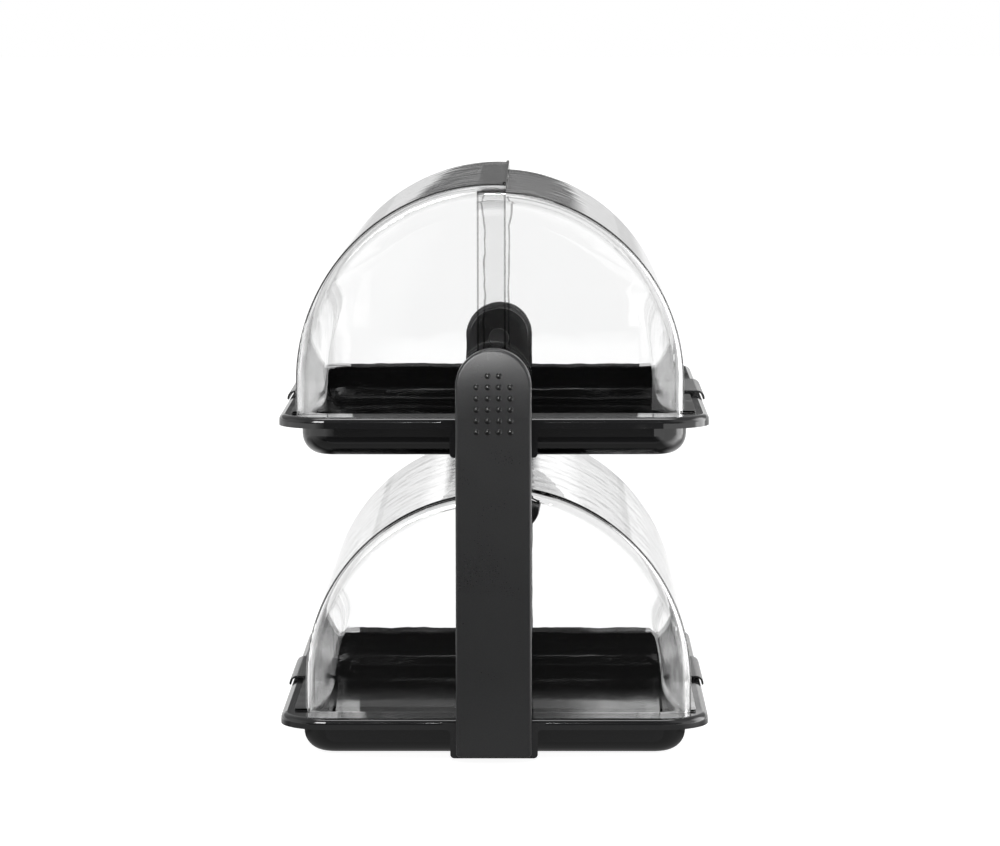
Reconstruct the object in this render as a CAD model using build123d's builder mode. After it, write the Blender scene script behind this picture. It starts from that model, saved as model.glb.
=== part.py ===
from build123d import *
import math
import os

# Two-tier roll-top bread display: two trays held by a column at each end, each tray under a
# pair of clear quarter-round hoods that roll one over the other about pivots in the columns.
# X runs across the display, Y along it with the front at -Y, and Z up from the plane of the
# feet. All sizes are in millimetres.

# ---------------------------------------------------------------- trays
tray_width = 320.0
tray_length = 440.0
rim_top = 33.0
rim_corner_radius = 35.0
rim_thickness = 2.6
rim_edge_radius = 4.4
skirt_height = 8.2
skirt_thickness = 2.4
side_flange = 19.1
end_flange = 30.4
tray_wall = 3.0
well_corner_radius = 22.0
well_floor_radius = 12.5
well_lip_radius = 0.8
tub_draft = 1.0
tier_pitch = 224.7

# Socket under each end of a rim, where a column is screwed on
socket_width = 65.0
socket_bottom = 3.5
socket_corner_radius = 3.0
socket_shoulder = 6.0
socket_cheek = 2.4

# ---------------------------------------------------------------- feet
pad_radius = 8.0
pad_thickness = 2.2
pad_projection = 1.0
pad_inset = 34.0
pad_clearance = 0.15

# ---------------------------------------------------------------- columns
column_width = 56.0
column_bottom = 5.9
column_front_depth = 10.0
column_bay_depth = 21.5
upper_bay_inset = 3.5
column_wall = 2.5
column_edge_radius = 2.0
column_corner_radius = 3.0
pivot_plate_thickness = 2.5
plate_rib_height = 3.0
plate_rib_wall = 1.6
plate_boss_radius = 10.0
plate_boss_height = 4.0
plate_clearance = 0.2
seat_clearance = 0.2

# Raised domes on the column head
dome_radius = 2.35
dome_height = 1.2
dome_pitch = 8.3
dome_rows = 5
dome_columns = 4
top_row_domes = 2

# ---------------------------------------------------------------- screws
screw_offset = 15.0
screw_level = 15.5
screw_radius = 1.5
screw_length = 8.0
screw_head_radius = 2.9
screw_head_height = 2.0
screw_hole_clearance = 0.2
thread_clearance = 0.02
screw_boss_radius = 4.0

# ---------------------------------------------------------------- hoods
pivot_height = 56.6
hood_setback = 12.7
hood_step = 5.9
hood_wall = 2.5
hood_end_gap = 1.0
hood_column_gap = 2.5
hood_edge_radius = 8.0
outer_hood_overlap = 9.0
inner_hood_overlap = 12.5
hood_flange_thickness = 1.4
outer_flange_width = 3.7
inner_flange_width = 8.9
flange_corner_radius = 2.5
hub_radius = 20.0
hub_rib_radius = 29.5
hub_rib_width = 1.6
hub_rib_clearance = 0.4
boss_radius = 12.0
boss_clearance = 0.3
bead_width = 2.3
bead_height = 1.0

# ---------------------------------------------------------------- pivots
pin_radius = 6.0
pin_running_clearance = 0.06
pin_press_clearance = 0.02
pin_collar_radius = 9.0
pin_collar_thickness = 2.0
spigot_radius = 3.5
spigot_length = 1.8
spigot_end_clearance = 0.1
cap_radius = 8.5
cap_thickness = 2.8
cap_edge_radius = 1.2

# ---------------------------------------------------------------- grips
grip_length = 95.0
grip_thickness = 1.5
grip_overhang = 2.3
grip_drop = 7.0
grip_bend_radius = 6.0
grip_tip_radius = 0.65

# Band about a level in which a selector finds the corners on that level
level_tolerance = 0.01

# ---------------------------------------------------------------- worked out from the sizes
well_width = tray_width - 2 * side_flange
well_length = tray_length - 2 * end_flange
tub_width = well_width + 2 * tray_wall
tub_length = well_length + 2 * tray_wall
tub_corner_radius = well_corner_radius + tray_wall
tub_floor_radius = well_floor_radius + tray_wall
tray_bottom = pad_projection
tray_floor = tray_bottom + tray_wall
tray_end = tray_length / 2
tub_end = tub_length / 2
skirt_bottom = rim_top - skirt_height
rim_underside = rim_top - rim_thickness

lower_pivot = pivot_height
upper_pivot = pivot_height + tier_pitch

column_face = tray_end + column_front_depth
plate_face = tray_end - column_bay_depth
plate_back = plate_face + pivot_plate_thickness

outer_hood_radius = tray_width / 2 - hood_setback
outer_hood_end = plate_face - hood_column_gap
hood_drop = pivot_height - rim_top - seat_clearance
inner_hood_radius = outer_hood_radius - hood_step
inner_hood_end = outer_hood_end - hood_wall - hood_end_gap
outer_boss_height = hood_column_gap - boss_clearance
inner_boss_height = hood_end_gap - boss_clearance
hub_rib_height = hood_end_gap - hub_rib_clearance

lower_bay_bottom = rim_top + seat_clearance
lower_bay_top = tier_pitch + socket_bottom - seat_clearance
upper_bay_bottom = tier_pitch + rim_top + seat_clearance
tier_bases = (0.0, tier_pitch)


def write(piece, name):
    """Label a finished sub-part and write its file."""
    piece.part.label = name
    export_step(piece.part, f"parts/{name}.step")


def write_copy(template, name, height=0.0, mirror_plane=None):
    """Write a template piece raised to a height, mirrored where a plane is given."""
    shape = template.part if mirror_plane is None else mirror(template.part, about=mirror_plane)
    with BuildPart() as piece:
        with Locations((0, 0, height)):
            add(shape)
    write(piece, name)


# ================================================================ trays
def drafted_block(width, length, corner_radius, top, bottom, floor_radius):
    """Block that narrows downwards, with rounded corners and a rounded lower edge."""
    with BuildPart() as block:
        with BuildSketch(Plane.XY.offset(top)):
            RectangleRounded(width, length, corner_radius)
        extrude(amount=bottom - top, taper=tub_draft)
        fillet(block.faces().sort_by(Axis.Z)[0].edges(), floor_radius)
    return block.part


def build_tray(base):
    """Moulded tray: drafted well, rim with a down-turned skirt, a column socket at each end."""
    tub = drafted_block(
        tub_width,
        tub_length,
        tub_corner_radius,
        base + rim_underside,
        base + tray_bottom,
        tub_floor_radius,
    )
    well = drafted_block(
        well_width,
        well_length,
        well_corner_radius,
        base + rim_top,
        base + tray_floor,
        well_floor_radius,
    )
    with BuildPart() as tray:
        # Rim plate and skirt
        with BuildSketch(Plane.XY.offset(base + rim_top)):
            RectangleRounded(tray_width, tray_length, rim_corner_radius)
        extrude(amount=-skirt_height)
        fillet(tray.faces().sort_by(Axis.Z)[-1].edges(), rim_edge_radius)
        with BuildSketch(Plane.XY.offset(base + skirt_bottom)):
            RectangleRounded(
                tray_width - 2 * skirt_thickness,
                tray_length - 2 * skirt_thickness,
                rim_corner_radius - skirt_thickness,
            )
        extrude(amount=skirt_height - rim_thickness, mode=Mode.SUBTRACT)

        # Tub and its well
        add(tub)
        add(well, mode=Mode.SUBTRACT)
        rim_face = tray.faces().sort_by(Axis.Z)[-1]
        fillet(rim_face.inner_wires().edges(), well_lip_radius)

        # Sockets: a face plate in line with the skirt and two cheeks back to the tub
        for end in (-1, 1):
            with BuildSketch(Plane.XZ.offset(-end * tray_end)) as face_plate:
                with Locations((0, base + (socket_bottom + rim_underside) / 2)):
                    Rectangle(socket_width, rim_underside - socket_bottom)
                corners = face_plate.vertices().group_by(Axis.Y)[0]
                fillet(corners, socket_corner_radius)
                with Locations((0, base + (skirt_bottom + rim_underside) / 2)):
                    Rectangle(socket_width + 2 * socket_shoulder, rim_underside - skirt_bottom)
                inner_corners = face_plate.vertices().filter_by_position(
                    Axis.Y,
                    base + skirt_bottom - level_tolerance,
                    base + skirt_bottom + level_tolerance,
                )
                fillet(inner_corners.sort_by(Axis.X)[1:-1], socket_corner_radius)
            extrude(amount=end * skirt_thickness)
            cheek_depth = tray_end - tub_end + tray_wall / 2
            with BuildSketch(Plane.XY.offset(base + socket_bottom + socket_corner_radius)):
                with Locations((0, end * (tray_end - cheek_depth / 2))):
                    with GridLocations(socket_width - socket_cheek, 0, 2, 1):
                        Rectangle(socket_cheek, cheek_depth)
            extrude(amount=rim_underside - socket_bottom - socket_corner_radius)
            with BuildSketch(Plane.XZ.offset(-end * tray_end)):
                with Locations((0, base + screw_level)):
                    with GridLocations(2 * screw_offset, 0, 2, 1):
                        Circle(screw_radius + screw_hole_clearance)
            extrude(amount=end * skirt_thickness, mode=Mode.SUBTRACT)

        # Seats for the rubber feet
        with BuildSketch(Plane.XY.offset(base + tray_bottom)):
            with GridLocations(tub_width - 2 * pad_inset, tub_length - 2 * pad_inset, 2, 2):
                Circle(pad_radius + pad_clearance)
        extrude(amount=pad_thickness - pad_projection, mode=Mode.SUBTRACT)
    return tray


# ================================================================ feet
def build_feet():
    """Four rubber pads let into the underside of the lower tray."""
    with BuildPart() as feet:
        with BuildSketch():
            with GridLocations(tub_width - 2 * pad_inset, tub_length - 2 * pad_inset, 2, 2):
                Circle(pad_radius)
        extrude(amount=pad_thickness)
    return feet


# ================================================================ columns
def head_outline(bottom, inset=0.0):
    """Upright outline with a half-round head about the upper pivot."""
    half_width = column_width / 2 - inset
    with BuildSketch() as outline:
        with BuildLine():
            Polyline(
                (-half_width, upper_pivot),
                (-half_width, bottom + inset),
                (half_width, bottom + inset),
                (half_width, upper_pivot),
            )
            CenterArc((0, upper_pivot), half_width, 0, 180)
        make_face()
    return outline.sketch


def upper_bay_outline(inset=0.0):
    """Upright outline over the rim of the upper tray, set in from the head all round."""
    with BuildSketch() as outline:
        add(head_outline(upper_bay_bottom - upper_bay_inset, upper_bay_inset + inset))
    return outline.sketch


def lower_bay_outline(inset=0.0):
    """Upright outline between the rim of the lower tray and the socket of the upper one."""
    with BuildSketch() as outline:
        with Locations((0, (lower_bay_bottom + lower_bay_top) / 2)):
            Rectangle(column_width - 2 * inset, lower_bay_top - lower_bay_bottom - 2 * inset)
    return outline.sketch


def build_column():
    """Hollow front column: a face slab over both trays and two deep bays behind it."""
    with BuildPart() as column:
        with BuildSketch(Plane.XZ.offset(column_face)) as face_outline:
            add(head_outline(column_bottom))
            fillet(face_outline.vertices().group_by(Axis.Y)[0], column_corner_radius)
        extrude(amount=-column_front_depth)
        fillet(column.faces().sort_by(Axis.Y)[0].edges(), column_edge_radius)
        with BuildSketch(Plane.XZ.offset(tray_end)):
            add(lower_bay_outline())
            add(upper_bay_outline())
        extrude(amount=-(tray_end - plate_back))

        # Raised domes: full rows from the pivot down and a short row above it
        ball_radius = (dome_radius**2 + dome_height**2) / (2 * dome_height)
        ball_depth = ball_radius - dome_height
        dome_seat = Plane.XZ.offset(column_face - ball_depth)
        full_rows_middle = upper_pivot - (dome_rows - 1) * dome_pitch / 2
        with Locations(dome_seat):
            with Locations((0, full_rows_middle)):
                with GridLocations(dome_pitch, dome_pitch, dome_columns, dome_rows):
                    Sphere(ball_radius)
            with Locations((0, upper_pivot + dome_pitch)):
                with GridLocations(dome_pitch, 0, top_row_domes, 1):
                    Sphere(ball_radius)

        # Hollow, open at the back
        with BuildSketch(Plane.XZ.offset(column_face - column_wall)):
            add(head_outline(column_bottom, upper_bay_inset + column_wall))
        extrude(amount=-(column_front_depth - column_wall), mode=Mode.SUBTRACT)
        with BuildSketch(Plane.XZ.offset(tray_end)):
            add(lower_bay_outline(column_wall))
            add(upper_bay_outline(column_wall))
        extrude(amount=-(tray_end - plate_back), mode=Mode.SUBTRACT)

        # Screw bosses that meet the tray sockets
        with BuildSketch(Plane.XZ.offset(column_face - column_wall)):
            for base in tier_bases:
                with Locations((0, base + screw_level)):
                    with GridLocations(2 * screw_offset, 0, 2, 1):
                        Circle(screw_boss_radius)
                        Circle(screw_radius + thread_clearance, mode=Mode.SUBTRACT)
        extrude(amount=-(column_front_depth - column_wall))
    return column


def build_pivot_plate(outline, rib_outline, rib_hollow, pivot):
    """Back plate of a bay, with a rib that locates it in the column and the pin's boss."""
    with BuildPart() as plate:
        with BuildSketch(Plane.XZ.offset(plate_face)):
            add(outline)
        extrude(amount=pivot_plate_thickness)
        with BuildSketch(Plane.XZ.offset(plate_back)):
            add(rib_outline)
            add(rib_hollow, mode=Mode.SUBTRACT)
        extrude(amount=plate_rib_height)
        with BuildSketch(Plane.XZ.offset(plate_back)):
            with Locations((0, pivot)):
                Circle(plate_boss_radius)
        extrude(amount=plate_boss_height)
        with BuildSketch(Plane.XZ.offset(plate_face)):
            with Locations((0, pivot)):
                Circle(pin_radius + pin_press_clearance)
        extrude(amount=pivot_plate_thickness + plate_boss_height, mode=Mode.SUBTRACT)
    return plate


# ================================================================ screws
def build_screws(base):
    """Four pan-head screws that hold one tray's sockets to the columns."""
    head_seat = tray_end - skirt_thickness
    with BuildPart() as screws:
        for end in (-1, 1):
            with BuildSketch(Plane.XZ.offset(-end * head_seat)):
                with Locations((0, base + screw_level)):
                    with GridLocations(2 * screw_offset, 0, 2, 1):
                        Circle(screw_head_radius)
            extrude(amount=end * screw_head_height)
            with BuildSketch(Plane.XZ.offset(-end * head_seat)):
                with Locations((0, base + screw_level)):
                    with GridLocations(2 * screw_offset, 0, 2, 1):
                        Circle(screw_radius)
            extrude(amount=-end * screw_length)
    return screws


# ================================================================ hoods
def hood_block(radius, end, crown_x, drop, edge_radius):
    """Quarter round about the pivot over a short upright part, with rounded end edges."""
    start_angle = math.degrees(math.acos(crown_x / radius))
    crown = (crown_x, math.sqrt(radius**2 - crown_x**2))
    with BuildPart() as block:
        with BuildSketch(Plane.XZ.offset(-end)):
            with BuildLine():
                CenterArc((0, 0), radius, start_angle, 180 - start_angle)
                Polyline((-radius, 0), (-radius, -drop), (crown_x, -drop), crown)
            make_face()
        extrude(amount=2 * end)
        curved_edges = block.edges().filter_by(GeomType.CIRCLE)
        upright_edges = block.edges().filter_by(Axis.Z).group_by(Axis.X)[0]
        fillet(curved_edges + upright_edges, edge_radius)
    return block.part


def build_hood(radius, end, overlap, flange_width, boss_height, bead):
    """Clear hood for the -X side with its pivot at the origin: shell, end walls and hubs."""
    body = hood_block(radius, end, overlap, hood_drop, hood_edge_radius)
    cavity = hood_block(
        radius - hood_wall,
        end - hood_wall,
        overlap + hood_wall,
        hood_drop + hood_wall,
        hood_edge_radius - hood_wall,
    )
    straight_length = 2 * (end - hood_edge_radius)
    with BuildPart() as hood:
        add(body)
        add(cavity, mode=Mode.SUBTRACT)
        # The end walls stop at the pivot's upright line below the pivot
        Box(
            overlap,
            2 * end,
            hood_drop,
            align=(Align.MIN, Align.CENTER, Align.MAX),
            mode=Mode.SUBTRACT,
        )

        # Hubs with bosses on their outer faces, bored for the pivot pins
        for side in (-1, 1):
            with BuildSketch(Plane.XZ.offset(-side * end)):
                Circle(hub_radius)
            extrude(amount=side * hood_wall)
            with BuildSketch(Plane.XZ.offset(-side * end)):
                Circle(boss_radius)
            extrude(amount=-side * boss_height)

            # Raised rib round the hub, from the pivot's level to the leading edge
            with BuildSketch(Plane.XZ.offset(-side * end)):
                Circle(hub_rib_radius)
                Circle(hub_rib_radius - hub_rib_width, mode=Mode.SUBTRACT)
                with Locations((overlap, 0)):
                    Rectangle(
                        overlap + hub_rib_radius,
                        hub_rib_radius,
                        align=(Align.MAX, Align.MIN),
                        mode=Mode.INTERSECT,
                    )
            extrude(amount=-side * hub_rib_height)
        with BuildSketch(Plane.XZ.offset(-end - boss_height)):
            Circle(pin_radius + pin_running_clearance)
        extrude(amount=2 * (end + boss_height), mode=Mode.SUBTRACT)

        # Outward flange along the foot
        with BuildSketch(Plane.XY.offset(-hood_drop)) as flange:
            with Locations((-radius + hood_wall / 2, 0)):
                Rectangle(
                    flange_width + hood_wall / 2, straight_length, align=(Align.MAX, Align.CENTER)
                )
            fillet(flange.vertices().group_by(Axis.X)[0], flange_corner_radius)
        extrude(amount=hood_flange_thickness)

        # Bead along the leading edge
        if bead:
            with BuildSketch(Plane.XZ.offset(-straight_length / 2)):
                with Locations((overlap, radius + bead_height)):
                    Rectangle(bead_width, hood_wall, align=(Align.MAX, Align.MAX))
            extrude(amount=straight_length)
    return hood


# ================================================================ grips
def build_grip(radius):
    """Grip for the -X side: a plate on the hood's flange that hooks down over the tray's rim."""
    top = hood_flange_thickness + grip_thickness - hood_drop
    tip = -tray_width / 2 - grip_overhang
    bend = (tip + grip_bend_radius, top - grip_bend_radius)
    inner_bend_radius = grip_bend_radius - grip_thickness
    with BuildPart() as grip:
        with BuildSketch(Plane.XZ.offset(-grip_length / 2)):
            with BuildLine():
                CenterArc(bend, grip_bend_radius, 90, 90)
                Polyline(
                    (tip, top - grip_bend_radius),
                    (tip, top - grip_drop),
                    (tip + grip_thickness, top - grip_drop),
                    (tip + grip_thickness, top - grip_bend_radius),
                )
                CenterArc(bend, inner_bend_radius, 90, 90)
                Polyline(
                    (bend[0], top - grip_thickness),
                    (-radius, top - grip_thickness),
                    (-radius, top),
                    (bend[0], top),
                )
            make_face()
        extrude(amount=grip_length)
        tip_edges = grip.edges().filter_by(Axis.Y).group_by(Axis.Z)[0]
        fillet(tip_edges, grip_tip_radius)
    return grip


# ================================================================ pivots
shaft_inner = inner_hood_end - hood_wall - boss_clearance
shaft_outer = plate_back + plate_boss_height


def build_pivot_pin():
    """Front pivot pin on an axis through the origin, collared behind the pivot plate."""
    with BuildPart() as pin:
        with BuildSketch(Plane.XZ.offset(shaft_inner)):
            Circle(pin_radius)
        extrude(amount=shaft_outer - shaft_inner)
        with BuildSketch(Plane.XZ.offset(shaft_outer)):
            Circle(pin_collar_radius)
        extrude(amount=pin_collar_thickness)
        with BuildSketch(Plane.XZ.offset(shaft_inner)):
            Circle(spigot_radius)
        extrude(amount=-spigot_length)
    return pin


def build_pivot_cap():
    """Cap pressed on the inner end of a front pivot pin, which keeps both hoods on it."""
    with BuildPart() as cap:
        with BuildSketch(Plane.XZ.offset(shaft_inner)):
            Circle(cap_radius)
        extrude(amount=-cap_thickness)
        fillet(cap.faces().sort_by(Axis.Y)[-1].edges(), cap_edge_radius)
        with BuildSketch(Plane.XZ.offset(shaft_inner)):
            Circle(spigot_radius + pin_press_clearance)
        extrude(amount=-spigot_length - spigot_end_clearance, mode=Mode.SUBTRACT)
    return cap


# ================================================================ files
os.makedirs("parts", exist_ok=True)

lower_tray = build_tray(0.0)
write(lower_tray, "lower_tray")
upper_tray = build_tray(tier_pitch)
write(upper_tray, "upper_tray")
write(build_feet(), "rubber_feet")
write(build_screws(0.0), "lower_tray_screws")
write(build_screws(tier_pitch), "upper_tray_screws")

rib_inset = column_wall + plate_clearance
column = build_column()
lower_plate = build_pivot_plate(
    lower_bay_outline(),
    lower_bay_outline(rib_inset),
    lower_bay_outline(rib_inset + plate_rib_wall),
    lower_pivot,
)
upper_plate = build_pivot_plate(
    upper_bay_outline(),
    upper_bay_outline(rib_inset),
    upper_bay_outline(rib_inset + plate_rib_wall),
    upper_pivot,
)
pin = build_pivot_pin()
cap = build_pivot_cap()
for end, end_plane in (("front", None), ("rear", Plane.XZ)):
    write_copy(column, f"{end}_column", mirror_plane=end_plane)
    write_copy(lower_plate, f"{end}_lower_pivot_plate", mirror_plane=end_plane)
    write_copy(upper_plate, f"{end}_upper_pivot_plate", mirror_plane=end_plane)
    for tier, pivot in (("lower", lower_pivot), ("upper", upper_pivot)):
        write_copy(pin, f"{end}_{tier}_pivot_pin", pivot, end_plane)
        write_copy(cap, f"{end}_{tier}_pivot_cap", pivot, end_plane)

outer_hood = build_hood(
    outer_hood_radius,
    outer_hood_end,
    outer_hood_overlap,
    outer_flange_width,
    outer_boss_height,
    bead=True,
)
inner_hood = build_hood(
    inner_hood_radius,
    inner_hood_end,
    inner_hood_overlap,
    inner_flange_width,
    inner_boss_height,
    bead=False,
)
outer_grip = build_grip(outer_hood_radius)
inner_grip = build_grip(inner_hood_radius)

# The upper tier has its outer hood on the left, and the lower tier on the right
write_copy(outer_hood, "upper_left_hood", upper_pivot)
write_copy(outer_grip, "upper_left_grip", upper_pivot)
write_copy(inner_hood, "upper_right_hood", upper_pivot, Plane.YZ)
write_copy(inner_grip, "upper_right_grip", upper_pivot, Plane.YZ)
write_copy(inner_hood, "lower_left_hood", lower_pivot)
write_copy(inner_grip, "lower_left_grip", lower_pivot)
write_copy(outer_hood, "lower_right_hood", lower_pivot, Plane.YZ)
write_copy(outer_grip, "lower_right_grip", lower_pivot, Plane.YZ)
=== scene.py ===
"""Two-tier roll-top bread display: finishes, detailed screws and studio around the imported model."""

import math

import bmesh
import bpy
from bpy.props import FloatProperty, FloatVectorProperty, PointerProperty
from mathutils import Matrix, Vector


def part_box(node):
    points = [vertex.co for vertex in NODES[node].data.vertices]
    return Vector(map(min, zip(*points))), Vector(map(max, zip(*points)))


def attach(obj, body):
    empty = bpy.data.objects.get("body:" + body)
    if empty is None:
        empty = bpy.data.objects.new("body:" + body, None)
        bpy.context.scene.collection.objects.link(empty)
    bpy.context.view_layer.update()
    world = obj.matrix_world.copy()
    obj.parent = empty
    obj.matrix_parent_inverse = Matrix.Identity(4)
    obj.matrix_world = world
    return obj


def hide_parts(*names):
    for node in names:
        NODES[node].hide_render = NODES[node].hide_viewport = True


bl_info = {
    "name": "Roll-Top Bread Display",
    "version": (1, 0, 0),
    "blender": (4, 5, 0),
    "location": "View3D > Sidebar > Bread Display",
    "description": "Finishes, screws and studio for a two-tier roll-top bread display",
    "category": "Object",
}

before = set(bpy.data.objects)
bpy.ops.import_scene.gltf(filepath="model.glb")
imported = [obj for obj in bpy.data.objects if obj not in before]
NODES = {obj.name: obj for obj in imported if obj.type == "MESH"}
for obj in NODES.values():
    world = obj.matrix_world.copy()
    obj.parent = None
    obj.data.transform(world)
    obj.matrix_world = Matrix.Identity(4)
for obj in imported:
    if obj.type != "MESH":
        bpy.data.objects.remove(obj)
bpy.context.view_layer.update()
TRAYS = ("lower_tray", "upper_tray")
COLUMNS = ("front_column", "rear_column")
PLATES = tuple(name for name in NODES if name.endswith("_pivot_plate"))
PINS = tuple(name for name in NODES if name.endswith(("_pivot_pin", "_pivot_cap")))
HOODS = tuple(name for name in NODES if name.endswith("_hood"))
GRIPS = tuple(name for name in NODES if name.endswith("_grip"))
SCREWS = tuple(name for name in NODES if name.endswith("_screws"))
FEET = ("rubber_feet",)

# Trays: height of the well's floor above the foot, drop from the rim's top to the well's lip,
# and half the well's width and length to the middle of its wall, which bound the painted shade
# inside the wells
WELL_FLOOR = 0.0025
WELL_LIP = 0.0006
WELL_HALF = (0.1424, 0.1911)
# Sizes of the haze and of the dust in the polish, stretch of the hairline scratches, and sizes
# and depths of the slow sink waves and of the fine unevenness
HAZE_SIZE = 0.035
DUST_SIZE = 0.0016
SCRATCH_STRETCH = (30.0, 900.0, 30.0)
WAVE_SIZE = 0.055
WAVE_DEPTH = 0.00016
FINE_SIZE = 0.0022
FINE_DEPTH = 0.000004

# Columns: height of the studs on their faces, the share of the column colour that the studs
# keep, which darkens them as painted shade, and their polish
STUD_HEIGHT = 0.0012
STUD_SHADE_SHARE = 0.05
STUD_ROUGHNESS = 0.1
# Distances above the face over which a stud's look sets in
STUD_FOOT = (0.00004, 0.00012)
# Height of the moulded grain, and size of the patches in its polish
GRAIN_DEPTH = 0.00002
PATCH_SIZE = 0.05
# Crown of the column heads: its length from the top down, and its slopes back and to the sides
HEAD_CROWN_LENGTH = 0.051
HEAD_LEAN = 0.22
HEAD_CROWN = 0.05

# Hoods that close outside the others; then, for outer (True) and inner hoods, their radius and
# how far their leading edges pass the pivots
OUTER_HOODS = ("upper_left_hood", "lower_right_hood")
HOOD_RADIUS = {True: 0.151, False: 0.1451}
HOOD_OVERLAP = {True: 0.009, False: 0.0125}
# Distance from the middle beyond which a hood's end walls lie
END_WALLS = 0.1899
# Run over which the end walls grow thicker towards the arch, and the heights above the pivots
# at which their flow marks end, their soft start is longest and their slope is the arch's
SWELL_RUN = 0.022
FLOW_HEIGHT = 0.03
LEAD_HEIGHT = 0.06
SWELL_HEIGHT = 0.1
# Length of the soft start at the foot and over the arch
SWELL_LEAD = (0.006, 0.014)
# Flow marks: their size, their stretch, the share by which they change the slope, and the
# softened distance inside the band at which their haze is full
FLOW_SIZE = 0.009
FLOW_STRETCH = (1.0, 1.0, 0.22)
FLOW_SHARE = 0.22
FLOW_RUN = 0.006
# Faint smears all over: their size and roughness
SMEAR_SIZE = 0.02
SMEAR_ROUGHNESS = 0.025
# Blur of the grey band, range of steepness that takes the grey, and the dark line along the
# leading edge: its distance from the edge and its half width, full and faded. The band's grey
# and the line are painted shade; the steep grey is partly painted shade
BAND_BLUR = 0.003
STEEP_RANGE = (0.55, 0.95)
LINE_INSET = 0.0007
LINE_HALF = (0.0005, 0.0009)
# Share of the lamps' light that each wall lets through
LAMP_SHARE = 0.9

# Pan-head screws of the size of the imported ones
SCREW_SIDES = 24
HEAD_RADIUS = 0.0029
HEAD_HEIGHT = 0.002
SHANK_RADIUS = 0.0015
SHANK_LENGTH = 0.008
THREAD_PITCH = 0.0008
THREAD_DEPTH = 0.0003
RECESS_REACH = 0.0017
RECESS_WIDTH = 0.0007
RECESS_DEPTH = 0.0011
# Edges that turn by more than this angle stay sharp
SHARP_ANGLE = 0.6


# ------------------------------------------------------------------ settings
class PlasticSettings(bpy.types.PropertyGroup):
    """Colours and surfaces of the opaque plastics and the rubber."""

    tray_colour: FloatVectorProperty(
        name="Tray Colour",
        description="Base colour of the glossy moulded trays",
        subtype="COLOR",
        size=3,
        min=0.0,
        max=1.0,
        default=(0.0105, 0.0105, 0.011),
    )
    # Painted shade: the darker colour inside the wells stands in for the shade that falls in them
    well_painted_shade: FloatVectorProperty(
        name="Well Painted Shade",
        description="Darker base colour inside the wells, painted as shade",
        subtype="COLOR",
        size=3,
        min=0.0,
        max=1.0,
        default=(0.0015, 0.0015, 0.0016),
    )
    tray_roughness: FloatProperty(
        name="Tray Roughness",
        description="Average roughness of the polished trays",
        default=0.07,
        min=0.0,
        max=1.0,
        subtype="FACTOR",
    )
    column_colour: FloatVectorProperty(
        name="Column Colour",
        description="Base colour of the satin columns",
        subtype="COLOR",
        size=3,
        min=0.0,
        max=1.0,
        default=(0.0135, 0.0135, 0.014),
    )
    column_roughness: FloatProperty(
        name="Column Roughness",
        description="Average roughness of the satin columns",
        default=0.31,
        min=0.0,
        max=1.0,
        subtype="FACTOR",
    )
    pivot_roughness: FloatProperty(
        name="Pivot Roughness",
        description="Average roughness of the pivot pins and caps",
        default=0.28,
        min=0.0,
        max=1.0,
        subtype="FACTOR",
    )
    grip_roughness: FloatProperty(
        name="Grip Roughness",
        description="Average roughness of the half-gloss grips",
        default=0.22,
        min=0.0,
        max=1.0,
        subtype="FACTOR",
    )
    grain_size: FloatProperty(
        name="Grain Size",
        description="Size of the moulded grain on the columns, pivots and grips",
        default=0.0011,
        min=0.0001,
        unit="LENGTH",
    )
    rubber_colour: FloatVectorProperty(
        name="Rubber Colour",
        description="Base colour of the foot pads",
        subtype="COLOR",
        size=3,
        min=0.0,
        max=1.0,
        default=(0.02, 0.02, 0.02),
    )


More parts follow.
